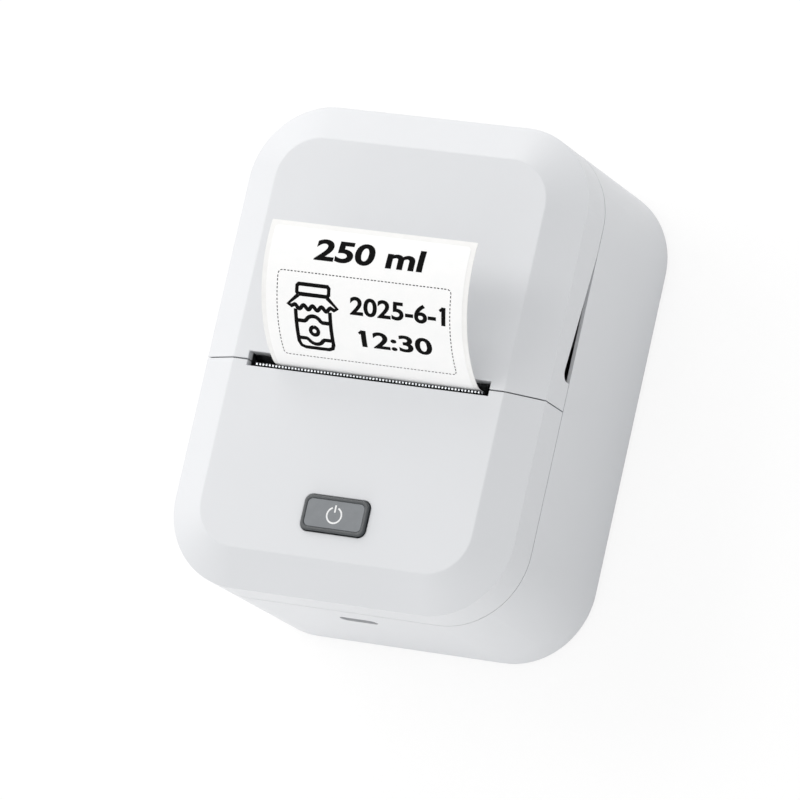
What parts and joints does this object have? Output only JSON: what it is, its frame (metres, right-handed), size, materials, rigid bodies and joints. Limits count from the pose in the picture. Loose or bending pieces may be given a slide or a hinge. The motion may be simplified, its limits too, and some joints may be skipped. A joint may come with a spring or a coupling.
{
  "type": "thermal label printer",
  "caption": "Compact desktop thermal label printer with a hinged lid over the label roll, a front label slot with tear bar, a power key and a charging port.",
  "frame": {"origin": "centre of the bounding box in X and Y, at the underside of the feet", "axes": "+Z out of the front face, +X to the right when looking at the front face with the key below the slot, -Y the end with the charging port, +Y the end with the lid hinge"},
  "size_m": [0.083, 0.11, 0.067],
  "materials": {
    "case_white": "satin white ABS",
    "inner_grey": "fine matte",
    "key_rim": "satin",
    "key_face": "satin",
    "black_plastic": "matte",
    "gear_plastic": "acetal",
    "steel": "bright",
    "aluminium": "satin",
    "brass": "bright",
    "rubber": "matte",
    "ceramic": "glazed",
    "label_paper": "smooth thermal paper",
    "core_board": "matte",
    "circuit_board": "green solder mask",
    "ribbon": "polyimide",
    "battery_wrap": "shrink sleeve"
  },
  "bodies": {
    "base": {"rear_housing": "case_white", "front_cover": "case_white", "hinge_pin": "steel", "rubber_feet": "rubber", "case_screws": "steel", "key_switch": "steel", "key_board": "circuit_board", "key_screws": "steel", "key_ribbon": "ribbon", "tear_bar": "steel", "label_feed": "label_paper", "paper_bay": "inner_grey", "bay_screws": "steel", "gap_sensor": "black_plastic", "mech_frame": "inner_grey", "frame_screws": "steel", "head_springs": "steel", "head_ribbon": "ribbon", "gear_pin": "steel", "stepper_motor": "steel", "motor_screws": "steel", "main_board": "circuit_board", "board_screws": "steel", "port_shell": "steel", "port_tongue": "black_plastic", "battery_pack": "battery_wrap", "battery_leads": "black_plastic"},
    "lid": {"lid_cover": "case_white", "lid_frame": "inner_grey", "platen_bushes": "brass", "label_strip": "label_paper"},
    "platen": {"platen_roller": "rubber", "platen_shaft": "steel", "platen_gear": "gear_plastic"},
    "double_wheel": {"double_gear": "gear_plastic"},
    "rotor": {"motor_shaft": "steel", "motor_pinion": "brass"},
    "roll": {"label_roll": "label_paper", "roll_core": "core_board"},
    "guide": {"paper_guide": "inner_grey"},
    "key": {"power_key": "key_rim", "key_face": "key_face", "key_plunger": "black_plastic"},
    "head": {"print_head": "ceramic", "heat_sink": "aluminium"}
  },
  "joints": [
    {"name": "lid_hinge", "type": "hinge", "parent": "base", "child": "lid", "pos_m": [0, 0.0526, 0.0376], "axis": [-1, 0, 0], "range_deg": [0, 90]},
    {"name": "key_press", "type": "slide", "parent": "base", "child": "key", "axis": [0, 0, -1], "range_m": [0, 0.0005], "stiffness_N_per_m": 1500},
    {"name": "double_gear_spin", "type": "hinge", "parent": "base", "child": "double_wheel", "pos_m": [0.0324, -0.00181, 0.03649], "axis": [1, 0, 0], "continuous": true},
    {"name": "platen_spin", "type": "hinge", "parent": "lid", "child": "platen", "pos_m": [0, -0.00091, 0.044], "axis": [1, 0, 0], "continuous": true},
    {"name": "motor_spin", "type": "hinge", "parent": "base", "child": "rotor", "pos_m": [0.03, -0.01251, 0.029], "axis": [1, 0, 0], "continuous": true},
    {"name": "roll_spin", "type": "hinge", "parent": "base", "child": "roll", "pos_m": [0.002, 0.0277, 0.0247], "axis": [1, 0, 0], "continuous": true},
    {"name": "guide_slide", "type": "slide", "parent": "base", "child": "guide", "axis": [-1, 0, 0], "range_m": [0, 0.005]},
    {"name": "head_pivot", "type": "hinge", "parent": "base", "child": "head", "pos_m": [0, -0.00674, 0.04], "axis": [1, 0, 0], "range_deg": [0, 1.5], "stiffness_Nm_per_rad": 2}
  ],
  "couplings": [
    {"joint": "platen_spin", "follows": "roll_spin", "ratio": 5.2857},
    {"joint": "double_gear_spin", "follows": "roll_spin", "ratio": -6.0408},
    {"joint": "motor_spin", "follows": "roll_spin", "ratio": 20.136}
  ]
}
